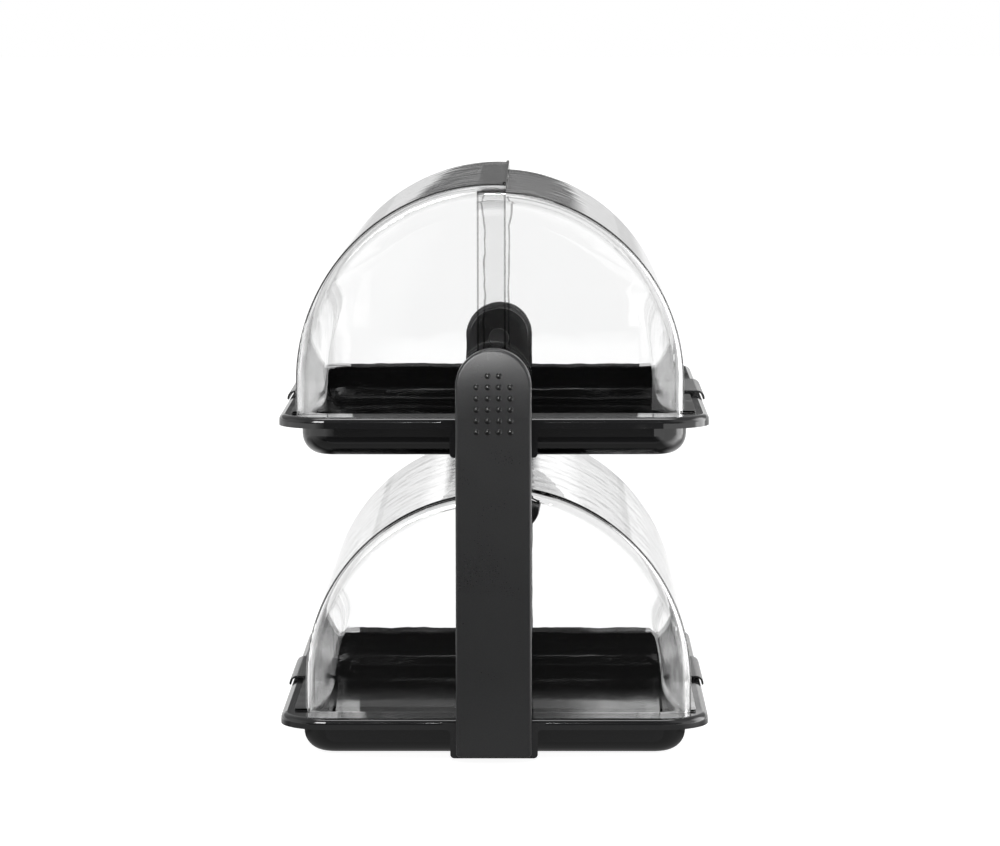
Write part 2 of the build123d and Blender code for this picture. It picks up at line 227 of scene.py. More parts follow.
class HoodSettings(bpy.types.PropertyGroup):
    """Clear plastic of the roll-top hoods."""

    hood_colour: FloatVectorProperty(
        name="Hood Colour",
        description="Colour that the clear plastic gives to light passing through",
        subtype="COLOR",
        size=3,
        min=0.0,
        max=1.0,
        default=(0.998, 0.999, 0.999),
    )
    refraction: FloatProperty(
        name="Refractive Index",
        description="How strongly the clear plastic bends light",
        default=1.49,
        min=1.0,
        max=2.5,
    )
    ripple_length: FloatProperty(
        name="Ripple Length",
        description="Distance between the slow waves that moulding leaves in the walls",
        default=0.02,
        min=0.001,
        unit="LENGTH",
    )
    ripple_depth: FloatProperty(
        name="Ripple Depth",
        description="Height of the slow waves in the walls",
        default=0.00004,
        min=0.0,
        unit="LENGTH",
    )
    # Painted shade: the grey line along the leading edges stands in for the light that the edge bends
    # aside
    edge_line_shade: FloatVectorProperty(
        name="Edge Line Shade",
        description="Colour that the leading edges give to light passing through",
        subtype="COLOR",
        size=3,
        min=0.0,
        max=1.0,
        default=(0.5, 0.5, 0.5),
    )
    # Partly painted shade: the grey at steep angles comes partly from the longer path through the
    # wall and partly stands in for darker reflections
    steep_tint_and_shade: FloatVectorProperty(
        name="Steep Tint And Shade",
        description="Colour that the shell gives to light passing through it at a steep angle",
        subtype="COLOR",
        size=3,
        min=0.0,
        max=1.0,
        default=(0.955, 0.955, 0.957),
    )
    foot_haze: FloatProperty(
        name="Foot Haze",
        description="Roughness of the flow marks at the feet of the end walls",
        default=0.2,
        min=0.0,
        max=1.0,
        subtype="FACTOR",
    )
    # Painted shade: the grey of the thicker band stands in for the light that the thick corner bends
    # aside
    band_shade_colour: FloatVectorProperty(
        name="Band Shade Colour",
        description="Colour that the thicker band along the arch gives to light passing through",
        subtype="COLOR",
        size=3,
        min=0.0,
        max=1.0,
        default=(0.8, 0.8, 0.8),
    )
    edge_width: FloatProperty(
        name="Edge Width",
        description="Width of the thicker band of the end walls along the arch",
        default=0.028,
        min=0.0,
        unit="LENGTH",
    )
    foot_slope: FloatProperty(
        name="Foot Slope",
        description="Slope of the end walls' faces in that band, below the pivots",
        default=0.2,
        min=0.0,
    )
    arch_slope: FloatProperty(
        name="Arch Slope",
        description="Slope of the end walls' faces in that band, over the arch",
        default=-0.08,
    )


class StageSettings(bpy.types.PropertyGroup):
    """Camera, floor and lamps."""

    camera_place: FloatVectorProperty(
        name="Camera Place",
        description="Where the camera stands",
        subtype="TRANSLATION",
        unit="LENGTH",
        size=3,
        default=(0.0333, -3.1907, 0.5727),
    )
    camera_yaw: FloatProperty(
        name="Camera Yaw",
        description="Turn of the camera to the right of the Y axis",
        subtype="ANGLE",
        default=-0.0096,
    )
    camera_pitch: FloatProperty(
        name="Camera Pitch",
        description="Tilt of the camera below the horizon",
        subtype="ANGLE",
        default=0.1069,
    )
    camera_roll: FloatProperty(
        name="Camera Roll",
        description="Turn of the camera about its line of sight",
        subtype="ANGLE",
        default=-0.0014,
    )
    camera_lens: FloatProperty(
        name="Camera Lens",
        description="Focal length on a 36 mm wide sensor",
        subtype="DISTANCE_CAMERA",
        unit="CAMERA",
        default=146.21,
    )
    floor_width: FloatProperty(
        name="Floor Width",
        description="Side of the square floor",
        unit="LENGTH",
        default=60.0,
    )
    front_level: FloatProperty(
        name="Front Level",
        description="Brightness of the studio in front of the display, as glossy plastic shows it",
        default=0.02,
        min=0.0,
    )
    front_floor_level: FloatProperty(
        name="Front Floor Level",
        description="Brightness of the floor close in front, as glossy plastic shows it",
        default=0.4,
        min=0.0,
    )
    left_level: FloatProperty(
        name="Left Level",
        description="Brightness of the floor on the left, as glossy plastic shows it",
        default=1.4,
        min=0.0,
    )
    flank_level: FloatProperty(
        name="Flank Level",
        description="Brightness of the floor close beside the display, as glossy plastic shows it",
        default=1.1,
        min=0.0,
    )
    right_level: FloatProperty(
        name="Right Level",
        description="Brightness of the floor on the right, as glossy plastic shows it",
        default=5.5,
        min=0.0,
    )
    lamp_level: FloatProperty(
        name="Lamp Level",
        description="Factor on the power of every lamp",
        default=1.0,
        min=0.0,
    )


# Studio walls as glossy and clear plastics show them, painted one over the other: level, then
# ranges of turn and of rise in degrees, with their blurs
WALL_PATCHES = (
    (1.1, ((-100.0, 100.0), (-20.0, 14.0), 30.0, 8.0)),
    (0.45, ((-160.0, 160.0), (14.0, 95.0), 30.0, 8.0)),
    (0.78, ((-100.0, 100.0), (-2.5, 4.2), 30.0, 1.2)),
    (1.5, ((80.0, 130.0), (-10.0, 36.0), 20.0, 16.0)),
    (5.0, ((48.0, 86.0), (-10.0, 36.0), 16.0, 16.0)),
    (0.9, ((-122.0, -66.0), (-10.0, 40.0), 24.0, 16.0)),
)
# Dark gap behind the display, whose lower edge sinks to both sides, and the pale panel in it
GAP_PATCHES = (
    (0.16, ((-4.3, 2.8), (2.35, 18.0), 0.6, 0.12)),
    (1.0, ((0.6, 2.6), (7.9, 18.0), 0.7, 0.5)),
)
GAP_SAG = 0.14
# Darkest parts of the gap
DEEP_PATCHES = (
    (0.02, ((-4.6, 2.9), (4.6, 5.6), 0.6, 0.2)),
    (0.02, ((-4.6, 2.9), (8.2, 9.6), 0.6, 0.3)),
)
# Soft boxes, which show in surfaces but not through the clear plastic
LAMP_PATCHES = (
    (7.0, ((-180.0, 180.0), (76.0, 100.0), 2.0, 14.0)),
    (22.0, ((-172.0, -150.0), (20.0, 40.0), 8.0, 8.0)),
    (0.8, ((100.0, 150.0), (30.0, 56.0), 20.0, 12.0)),
)
# Floor about the display: its levels on the left and on the right, and the distances to the
# sides at which they hold
NEAR_LEVELS = (0.04, 0.14)
NEAR_REACH = (-0.6, 0.7)
# Painted shadow on the floor below the display, as glossy and clear plastics show it: half its
# width and length, blur and level
UNDER_SHADOW_HALF = (0.12, 0.18)
UNDER_SHADOW_BLUR = 0.06
UNDER_SHADOW_LEVEL = 0.03
# Strips of the floor in front: share of the front floor's level, middle, half width and blur
FRONT_STRIPS = ((0.15, -1.0, 0.8, 0.1), (1.0, -0.31, 0.12, 0.06), (0.6, -1.48, 0.5, 0.06))
# Bands of the floor behind: level, and the distances at which each begins and is full
FLOOR_BANDS = (
    (1.2, 0.2, 0.27),
    (0.85, 1.35, 1.7),
    (1.16, 2.4, 2.6),
    (1.07, 3.3, 3.6),
    (0.8, 7.0, 9.0),
)
# Share of those bands that shows in surfaces, which is less than what shows through the hoods
MIRRORED_SHARE = 0.87
# Floor to the eye: its grey, which takes the shadow, and its own glow
FLOOR_GREY = 0.35
FLOOR_GLOW = 0.92
# Light of the surroundings on matt surfaces
PLAIN_LEVEL = 0.75

# Lamps: name, place, point aimed at, width, height, power, and whether glossy surfaces show it
LAMPS = (
    ("top_lamp", (0.0, -0.95, 1.5), (0.0, -0.2, 0.25), 1.2, 0.8, 14.0, False),
    ("left_lamp", (-1.7, -0.5, 0.7), (0.0, 0.0, 0.2), 0.7, 1.2, 8.0, False),
    ("right_lamp", (1.6, -0.7, 0.5), (0.0, 0.0, 0.2), 0.7, 1.0, 14.0, False),
    ("key_lamp", (-0.02, -2.03, 0.94), (0.0, -0.23, 0.3), 0.09, 0.14, 5.0, True),
)


# ------------------------------------------------------------------ node helpers
def new_material(name):
    """Material with an empty node tree and its output node."""
    material = bpy.data.materials.new(name)
    material.use_nodes = True
    tree = material.node_tree
    tree.nodes.clear()
    output = tree.nodes.new("ShaderNodeOutputMaterial")
    return material, tree, output


def add_node(tree, kind, inputs=None, **settings):
    """Node of a kind, with its settings, and its inputs given as values or as other outputs."""
    made = tree.nodes.new(kind)
    for setting, value in settings.items():
        setattr(made, setting, value)
    for socket, value in (inputs or {}).items():
        if isinstance(value, bpy.types.NodeSocket):
            tree.links.new(value, made.inputs[socket])
        else:
            made.inputs[socket].default_value = value
    return made


def own_coordinates(tree):
    """Coordinates in metres that stay with the piece."""
    return tree.nodes.new("ShaderNodeTexCoord").outputs["Object"]


def noise(tree, place, size, detail=3.0, roughness=0.5):
    """Soft noise whose features have the given size in metres."""
    made = add_node(
        tree,
        "ShaderNodeTexNoise",
        {"Vector": place, "Scale": 1.0 / size, "Detail": detail, "Roughness": roughness},
    )
    return made.outputs["Fac"]


def ranged(tree, value, low, high, new_low, new_high):
    """Value moved from one range to another, held at the ends."""
    made = add_node(
        tree,
        "ShaderNodeMapRange",
        {
            "Value": value,
            "From Min": low,
            "From Max": high,
            "To Min": new_low,
            "To Max": new_high,
        },
    )
    return made.outputs["Result"]


def combined(tree, operation, first, second):
    """Result of a sum on two values, or on the first one where it takes only one."""
    return add_node(tree, "ShaderNodeMath", {0: first, 1: second}, operation=operation).outputs[0]


def bumped(tree, height, depth, under=None):
    """Normal raised by a height between 0 and 1, over another normal where one is given."""
    inputs = {"Height": height, "Distance": depth, "Strength": 1.0}
    if under is not None:
        inputs["Normal"] = under
    return add_node(tree, "ShaderNodeBump", inputs).outputs["Normal"]


def blended_colour(tree, factor, first, second):
    """Mix of two colours."""
    made = tree.nodes.new("ShaderNodeMix")
    made.data_type = "RGBA"
    tree.links.new(factor, made.inputs[0])
    for index, colour in ((6, first), (7, second)):
        if isinstance(colour, bpy.types.NodeSocket):
            tree.links.new(colour, made.inputs[index])
        else:
            made.inputs[index].default_value = (*colour[:3], 1.0)
    return made.outputs[2]


def lighter(colour, factor):
    """Colour times a factor."""
    return tuple(min(1.0, channel * factor) for channel in colour)


def dress(names, material):
    """Give a material to every slot of the named nodes."""
    for name in names:
        for slot in NODES[name].material_slots:
            slot.material = material


# ------------------------------------------------------------------ materials
def shaded_well_mask(tree, place, name):
    """1 on the faces inside a tray's well, where shade is painted into the colour, 0 on the rest."""
    low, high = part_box(name)
    axes = add_node(tree, "ShaderNodeSeparateXYZ", {"Vector": place})
    inside = combined(tree, "GREATER_THAN", axes.outputs["Z"], low.z + WELL_FLOOR)
    for value, limit in (
        (combined(tree, "ABSOLUTE", axes.outputs["X"], 0.0), WELL_HALF[0]),
        (combined(tree, "ABSOLUTE", axes.outputs["Y"], 0.0), WELL_HALF[1]),
        (axes.outputs["Z"], high.z - WELL_LIP),
    ):
        inside = combined(tree, "MULTIPLY", inside, combined(tree, "LESS_THAN", value, limit))
    return inside


def tray_plastic(settings, name):
    """Polished black plastic: slow sink waves, faint haze and dust, hairline scratches, painted shade
    in the well.
    """
    material, tree, output = new_material(name + "_plastic")
    place = own_coordinates(tree)
    haze = noise(tree, place, HAZE_SIZE, 4.0)
    specks = noise(tree, place, DUST_SIZE, 2.0)
    scratch_place = add_node(
        tree, "ShaderNodeMapping", {"Vector": place, "Scale": SCRATCH_STRETCH}
    ).outputs["Vector"]
    scratches = noise(tree, scratch_place, 1.0, 1.0)
    polish = ranged(
        tree, haze, 0.3, 0.7, settings.tray_roughness * 0.6, settings.tray_roughness * 1.5
    )
    marks = ranged(tree, scratches, 0.68, 0.78, 0.0, 0.1)
    dust = ranged(tree, specks, 0.7, 0.8, 0.0, 0.12)
    roughness = combined(tree, "ADD", combined(tree, "ADD", polish, marks), dust)
    colour = blended_colour(
        tree,
        ranged(tree, specks, 0.66, 0.86, 0.0, 1.0),
        settings.tray_colour,
        lighter(settings.tray_colour, 2.2),
    )
    # Painted shade: inside the well the colour turns darker, standing in for the shade there
    colour = blended_colour(tree, shaded_well_mask(tree, place, name), colour, settings.well_painted_shade)
    waves = bumped(tree, noise(tree, place, WAVE_SIZE, 1.0), WAVE_DEPTH)
    fine = bumped(tree, noise(tree, place, FINE_SIZE, 2.0), FINE_DEPTH, waves)
    surface = add_node(
        tree,
        "ShaderNodeBsdfPrincipled",
        {"Base Color": colour, "Roughness": roughness, "Normal": fine, "IOR": 1.5},
    )
    tree.links.new(surface.outputs["BSDF"], output.inputs["Surface"])
    return material


def column_plastic(settings, name, roughness, studs):
    """Satin black plastic with a fine moulded grain; studs proud of the face are polished and take
    painted shade.
    """
    material, tree, output = new_material(name)
    place = own_coordinates(tree)
    grain = noise(tree, place, settings.grain_size, 2.0, 0.6)
    patches = noise(tree, place, PATCH_SIZE, 3.0)
    rough = ranged(tree, patches, 0.3, 0.7, roughness * 0.92, roughness * 1.08)
    rough = combined(tree, "ADD", rough, ranged(tree, grain, 0.3, 0.7, -0.03, 0.03))
    colour = blended_colour(
        tree,
        ranged(tree, grain, 0.35, 0.75, 0.0, 1.0),
        lighter(settings.column_colour, 0.85),
        lighter(settings.column_colour, 1.3),
    )
    if studs:
        stud = on_stud(tree, place)
        plain = combined(tree, "SUBTRACT", 1.0, stud)
        rough = combined(
            tree,
            "ADD",
            combined(tree, "MULTIPLY", rough, plain),
            combined(tree, "MULTIPLY", stud, STUD_ROUGHNESS),
        )
        # Painted shade: the studs take a much darker copy of the column colour, standing in for the
        # dark surroundings their polish reflects
        colour = blended_colour(
            tree, stud, colour, lighter(settings.column_colour, STUD_SHADE_SHARE)
        )
        height = combined(tree, "MULTIPLY", grain, plain)
        normal = bumped(tree, height, GRAIN_DEPTH, head_crown(tree, place))
    else:
        normal = bumped(tree, grain, GRAIN_DEPTH)
    surface = add_node(
        tree,
        "ShaderNodeBsdfPrincipled",
        {"Base Color": colour, "Roughness": rough, "Normal": normal, "IOR": 1.5},
    )
    tree.links.new(surface.outputs["BSDF"], output.inputs["Surface"])
    return material


def head_crown(tree, place):
    """Normal of the slightly crowned head of a column, which leans back towards its top."""
    axes = add_node(tree, "ShaderNodeSeparateXYZ", {"Vector": place})
    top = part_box("front_column")[1]
    start = top.z - HEAD_CROWN_LENGTH
    up = combined(tree, "MAXIMUM", combined(tree, "SUBTRACT", axes.outputs["Z"], start), 0.0)
    fall = combined(tree, "MULTIPLY", up, up)
    fall = combined(tree, "MULTIPLY", fall, -HEAD_LEAN / (2 * HEAD_CROWN_LENGTH))
    across = combined(tree, "MULTIPLY", axes.outputs["X"], axes.outputs["X"])
    across = combined(tree, "MULTIPLY", across, -HEAD_CROWN / (2 * top.x))
    across = combined(
        tree, "MULTIPLY", across, ranged(tree, up, 0.0, HEAD_CROWN_LENGTH, 0.0, 1.0)
    )
    return bumped(tree, combined(tree, "ADD", fall, across), 1.0)


def on_stud(tree, place):
    """1 on the studs that stand proud of the columns' outward faces, 0 on the rest."""
    face = -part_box("front_column")[0].y - STUD_HEIGHT
    axis = add_node(tree, "ShaderNodeSeparateXYZ", {"Vector": place}).outputs["Y"]
    proud = combined(tree, "ABSOLUTE", axis, 0.0)
    return ranged(tree, proud, face + STUD_FOOT[0], face + STUD_FOOT[1], 0.0, 1.0)


def pivot_height(name):
    """Height of the pins on which a hood turns."""
    tier = name.split("_")[0]
    low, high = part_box(f"front_{tier}_pivot_pin")
    return (low.z + high.z) / 2


def hood_places(tree, place, name):
    """Places on a hood: across, height above the pivots, distance from their axis, end walls."""
    axes = add_node(tree, "ShaderNodeSeparateXYZ", {"Vector": place})
    across = axes.outputs["X"]
    up = combined(tree, "SUBTRACT", axes.outputs["Z"], pivot_height(name))
    up = combined(tree, "MAXIMUM", up, 0.0)
    squares = combined(
        tree,
        "ADD",
        combined(tree, "MULTIPLY", across, across),
        combined(tree, "MULTIPLY", up, up),
    )
    reach = combined(tree, "SQRT", squares, 0.0)
    along = combined(tree, "ABSOLUTE", axes.outputs["Y"], 0.0)
    return across, up, reach, combined(tree, "GREATER_THAN", along, END_WALLS)


def softened(tree, inward, up):
    """Distance inside the end walls' thicker band, with a soft start."""
    lead = ranged(tree, up, 0.0, LEAD_HEIGHT, *SWELL_LEAD)
    return combined(
        tree,
        "DIVIDE",
        combined(tree, "MULTIPLY", inward, inward),
        combined(tree, "ADD", inward, lead),
    )


def end_wall_swell(tree, settings, place, up, inward):
    """Height that the end walls gain towards the arch, with flow marks at their feet."""
    flow_place = add_node(
        tree, "ShaderNodeMapping", {"Vector": place, "Scale": FLOW_STRETCH}
    ).outputs["Vector"]
    flow = noise(tree, flow_place, FLOW_SIZE, 1.0)
    wander = combined(
        tree,
        "MULTIPLY",
        combined(tree, "SUBTRACT", flow, 0.5),
        ranged(tree, up, 0.0, FLOW_HEIGHT, FLOW_SHARE, 0.0),
    )
    slope = combined(
        tree,
        "MULTIPLY",
        ranged(tree, up, 0.0, SWELL_HEIGHT, settings.foot_slope, settings.arch_slope),
        combined(tree, "ADD", wander, 1.0),
    )
    return combined(tree, "MULTIPLY", inward, slope)


def swollen_both_ways(tree, height):
    """Normal of a wall whose two faces both swell outwards, also where light leaves it."""
    back = tree.nodes.new("ShaderNodeNewGeometry").outputs["Backfacing"]
    facing = ranged(tree, back, 0.0, 1.0, 1.0, -1.0)
    return bumped(tree, combined(tree, "MULTIPLY", height, facing), 1.0)


def hood_tint(tree, settings, name, across, reach, end_wall):
    """Colour that a wall gives to light: greyer in the arch's band and at the edge as painted shade,
    and when steep partly so.
    """
    outer = name in OUTER_HOODS
    start = HOOD_RADIUS[outer] - settings.edge_width / 2
    # Painted shade: the band along the arch, the steep parts and the line at the leading edge turn
    # greyer
    band = ranged(tree, reach, start, start + BAND_BLUR, 0.0, 1.0)
    band = combined(tree, "MULTIPLY", band, end_wall)
    colour = blended_colour(tree, band, settings.hood_colour, settings.band_shade_colour)
    steep = add_node(tree, "ShaderNodeLayerWeight", {"Blend": 0.5}).outputs["Facing"]
    steep = ranged(tree, steep, *STEEP_RANGE, 0.0, 1.0)
    colour = blended_colour(tree, steep, colour, settings.steep_tint_and_shade)
    forward = combined(tree, "MULTIPLY", across, 1.0 if "_left_" in name else -1.0)
    edge = combined(tree, "SUBTRACT", forward, HOOD_OVERLAP[outer] - LINE_INSET)
    edge = ranged(tree, combined(tree, "ABSOLUTE", edge, 0.0), *LINE_HALF, 1.0, 0.0)
    return blended_colour(tree, edge, colour, settings.edge_line_shade)


def hood_plastic(settings, name):
    """Clear plastic with slow ripples, faint haze and thicker edges; lamps shine through it."""
    material, tree, output = new_material(name + "_plastic")
    place = own_coordinates(tree)
    across, up, reach, end_wall = hood_places(tree, place, name)
    start = HOOD_RADIUS[name in OUTER_HOODS] - settings.edge_width
    inward = ranged(tree, reach, start, start + SWELL_RUN, 0.0, SWELL_RUN)
    inward = softened(tree, inward, up)
    swell = end_wall_swell(tree, settings, place, up, inward)
    swell = combined(tree, "MULTIPLY", swell, end_wall)
    ripples = noise(tree, place, settings.ripple_length, 1.5, 0.4)
    ripples = combined(tree, "MULTIPLY", ripples, settings.ripple_depth)
    # The flow marks at the feet scatter light a little
    foot = combined(
        tree,
        "MULTIPLY",
        ranged(tree, up, 0.0, FLOW_HEIGHT, 1.0, 0.0),
        ranged(tree, inward, 0.0, FLOW_RUN, 0.0, 1.0),
    )
    foot = combined(tree, "MULTIPLY", foot, end_wall)
    smears = noise(tree, place, SMEAR_SIZE, 4.0)
    smears = ranged(tree, smears, 0.45, 0.75, 0.0, SMEAR_ROUGHNESS)
    haze = combined(tree, "ADD", smears, combined(tree, "MULTIPLY", foot, settings.foot_haze))
    clear = add_node(
        tree,
        "ShaderNodeBsdfPrincipled",
        {
            "Base Color": hood_tint(tree, settings, name, across, reach, end_wall),
            "Roughness": haze,
            "Normal": swollen_both_ways(tree, combined(tree, "ADD", swell, ripples)),
            "IOR": settings.refraction,
            "Transmission Weight": 1.0,
        },
    )
    passed = (LAMP_SHARE, LAMP_SHARE, LAMP_SHARE, 1.0)
    open_to_lamps = add_node(tree, "ShaderNodeBsdfTransparent", {"Color": passed})
    path = tree.nodes.new("ShaderNodeLightPath")
    mixed = add_node(
        tree,
        "ShaderNodeMixShader",
        {
            0: path.outputs["Is Shadow Ray"],
            1: clear.outputs["BSDF"],
            2: open_to_lamps.outputs["BSDF"],
        },
    )
    tree.links.new(mixed.outputs["Shader"], output.inputs["Surface"])
    return material


def rubber(settings):
    """Matt rubber with a coarse grain."""
    material, tree, output = new_material("foot_rubber")
    place = own_coordinates(tree)
    grain = noise(tree, place, 0.0009, 3.0)
    surface = add_node(
        tree,
        "ShaderNodeBsdfPrincipled",
        {
            "Base Color": blended_colour(
                tree,
                grain,
                lighter(settings.rubber_colour, 0.7),
                lighter(settings.rubber_colour, 1.5),
            ),
            "Roughness": ranged(tree, grain, 0.3, 0.7, 0.7, 0.88),
            "Normal": bumped(tree, grain, 0.00006),
        },
    )
    tree.links.new(surface.outputs["BSDF"], output.inputs["Surface"])
    return material


def zinc_steel():
    """Bright zinc plate with turning marks and dull patches."""
    material, tree, output = new_material("zinc_plated_steel")
    place = own_coordinates(tree)
    patches = noise(tree, place, 0.0012, 3.0)
    surface = add_node(
        tree,
        "ShaderNodeBsdfPrincipled",
        {
            "Base Color": blended_colour(tree, patches, (0.50, 0.51, 0.53), (0.66, 0.67, 0.68)),
            "Metallic": 1.0,
            "Roughness": ranged(tree, patches, 0.3, 0.7, 0.22, 0.40),
            "Normal": bumped(tree, noise(tree, place, 0.0003, 2.0), 0.000008),
        },
    )
    tree.links.new(surface.outputs["BSDF"], output.inputs["Surface"])
    return material


# ------------------------------------------------------------------ pieces
class BREADDISPLAY_OT_trays(bpy.types.Operator):
    """Finish both trays in polished black plastic."""

    bl_idname = "breaddisplay.trays"
    bl_label = "Finish Trays"

    def execute(self, context):
        for name in TRAYS:
            dress((name,), tray_plastic(context.scene.bread_plastics, name))
        return {"FINISHED"}


class BREADDISPLAY_OT_columns(bpy.types.Operator):
    """Finish the columns and their back plates in satin black plastic."""

    bl_idname = "breaddisplay.columns"
    bl_label = "Finish Columns"

    def execute(self, context):
        settings = context.scene.bread_plastics
        rough = settings.column_roughness
        dress(COLUMNS, column_plastic(settings, "satin_black_plastic", rough, True))
        dress(PLATES, column_plastic(settings, "satin_plate_plastic", rough, False))
        return {"FINISHED"}


class BREADDISPLAY_OT_pivots(bpy.types.Operator):
    """Finish the pivot pins and caps in smoother black plastic."""

    bl_idname = "breaddisplay.pivots"
    bl_label = "Finish Pivots"

    def execute(self, context):
        settings = context.scene.bread_plastics
        rough = settings.pivot_roughness
        dress(PINS, column_plastic(settings, "smooth_black_plastic", rough, False))
        return {"FINISHED"}


class BREADDISPLAY_OT_hoods(bpy.types.Operator):
    """Finish the four roll-top hoods in clear plastic."""

    bl_idname = "breaddisplay.hoods"
    bl_label = "Finish Hoods"

    def execute(self, context):
        for name in HOODS:
            dress((name,), hood_plastic(context.scene.bread_hoods, name))
        return {"FINISHED"}


class BREADDISPLAY_OT_grips(bpy.types.Operator):
    """Finish the grips in half-gloss black plastic."""

    bl_idname = "breaddisplay.grips"
    bl_label = "Finish Grips"

    def execute(self, context):
        settings = context.scene.bread_plastics
        rough = settings.grip_roughness
        dress(GRIPS, column_plastic(settings, "half_gloss_black_plastic", rough, False))
        return {"FINISHED"}


class BREADDISPLAY_OT_feet(bpy.types.Operator):
    """Finish the four foot pads in rubber."""

    bl_idname = "breaddisplay.feet"
    bl_label = "Finish Feet"

    def execute(self, context):
        dress(FEET, rubber(context.scene.bread_plastics))
        return {"FINISHED"}


def cross_radius(angle):
    """Radius of the cross recess in a screw's head, at an angle about the screw."""
    from_arm = (angle + math.pi / 4) % (math.pi / 2) - math.pi / 4
    return min(RECESS_REACH, RECESS_WIDTH / 2 / max(abs(math.sin(from_arm)), 0.01))


def screw_rings():
    """Rings of a pan-head screw: radius, or None for the cross, and distance from its seat."""
    rings = [
        (None, RECESS_DEPTH - HEAD_HEIGHT),
        (None, -HEAD_HEIGHT),
        (HEAD_RADIUS * 0.72, -HEAD_HEIGHT),
        (HEAD_RADIUS * 0.91, -HEAD_HEIGHT * 0.84),
        (HEAD_RADIUS, -HEAD_HEIGHT * 0.5),
        (HEAD_RADIUS, -HEAD_HEIGHT * 0.08),
        (HEAD_RADIUS * 0.97, 0.0),
        (SHANK_RADIUS, 0.0),
    ]
    turns = int((SHANK_LENGTH - 2 * THREAD_PITCH) / THREAD_PITCH)
    for turn in range(1, turns + 1):
        rings.append((SHANK_RADIUS, turn * THREAD_PITCH))
        rings.append((SHANK_RADIUS - THREAD_DEPTH, (turn + 0.5) * THREAD_PITCH))
    rings.append((SHANK_RADIUS, (turns + 1) * THREAD_PITCH))
    rings.append((SHANK_RADIUS * 0.6, SHANK_LENGTH))
    return rings


def screw_shell(vertices, faces, across, seat, end, level):
    """Add one screw, with its seat at a place along the display and its tip towards an end."""
    first = len(vertices)
    rings = screw_rings()
    for radius, along in rings:
        for step in range(SCREW_SIDES):
            angle = 2 * math.pi * step / SCREW_SIDES
            reach = cross_radius(angle) if radius is None else radius
            vertices.append(
                (
                    across + reach * math.cos(angle),
                    end * (seat + along),
                    level + reach * math.sin(angle),
                )
            )
    for ring in range(len(rings) - 1):
        start = first + ring * SCREW_SIDES
        for step in range(SCREW_SIDES):
            here = start + step
            beside = start + (step + 1) % SCREW_SIDES
            faces.append((here, beside, beside + SCREW_SIDES, here + SCREW_SIDES))
    last = first + (len(rings) - 1) * SCREW_SIDES
    faces.append(tuple(range(first, first + SCREW_SIDES)))
    faces.append(tuple(range(last, last + SCREW_SIDES)))


def screw_group(name, material):
    """Four pan-head screws in the place of one tray's plain ones."""
    low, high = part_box(name)
    vertices = []
    faces = []
    for end in (-1, 1):
        for side in (-1, 1):
            screw_shell(
                vertices,
                faces,
                across=side * (high.x - HEAD_RADIUS),
                seat=high.y - SHANK_LENGTH,
                end=end,
                level=(low.z + high.z) / 2,
            )
    mesh = bpy.data.meshes.new("detailed_" + name)
    mesh.from_pydata(vertices, [], faces)
    shells = bmesh.new()
    shells.from_mesh(mesh)
    bmesh.ops.recalc_face_normals(shells, faces=shells.faces)
    shells.to_mesh(mesh)
    shells.free()
    mesh.shade_smooth()
    mesh.set_sharp_from_angle(angle=SHARP_ANGLE)
    mesh.materials.append(material)
    made = bpy.data.objects.new("detailed_" + name, mesh)
    bpy.context.scene.collection.objects.link(made)
    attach(made, "stand")
    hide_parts(name)


class BREADDISPLAY_OT_screws(bpy.types.Operator):
    """Make the tray screws with pan heads, cross recesses and threads, in zinc-plated steel."""

    bl_idname = "breaddisplay.screws"
    bl_label = "Make Screws"

    def execute(self, context):
        steel = zinc_steel()
        for name in SCREWS:
            screw_group(name, steel)
        return {"FINISHED"}


# ------------------------------------------------------------------ stage
def stage_mesh(name, vertices, faces):
    """Mesh object that belongs to the studio."""
    mesh = bpy.data.meshes.new(name)
    mesh.from_pydata(vertices, [], faces)
    mesh.update()
    made = bpy.data.objects.new(name, mesh)
    bpy.context.scene.collection.objects.link(made)
    return made


def seen_rays(tree, *kinds):
    """1 for the named kinds of ray and 0 for the others."""
    path = tree.nodes.new("ShaderNodeLightPath")
    value = path.outputs[kinds[0]]
    for kind in kinds[1:]:
        value = combined(tree, "MAXIMUM", value, path.outputs[kind])
    return value


def painted(tree, under, level, mask):
    """Level painted over another one where the mask is 1."""
    change = combined(tree, "SUBTRACT", level, under)
    return combined(tree, "ADD", under, combined(tree, "MULTIPLY", change, mask))


def strip(tree, value, middle, half, blur):
    """1 as far as half a width from the middle, then falling to 0 over the blur."""
    away = combined(tree, "ABSOLUTE", combined(tree, "SUBTRACT", value, middle), 0.0)
    return ranged(tree, away, half, half + blur, 1.0, 0.0)


def soft_patch(tree, turn, rise, turn_range, rise_range, turn_blur, rise_blur):
    """Mask of a soft-edged patch of the surroundings, given in degrees of turn and of rise."""
    mask = None
    for value, (low, high), blur in (
        (turn, turn_range, turn_blur),
        (rise, rise_range, rise_blur),
    ):
        side = strip(tree, value, (low + high) / 2, (high - low - blur) / 2, blur)
        mask = side if mask is None else combined(tree, "MULTIPLY", mask, side)
    return mask


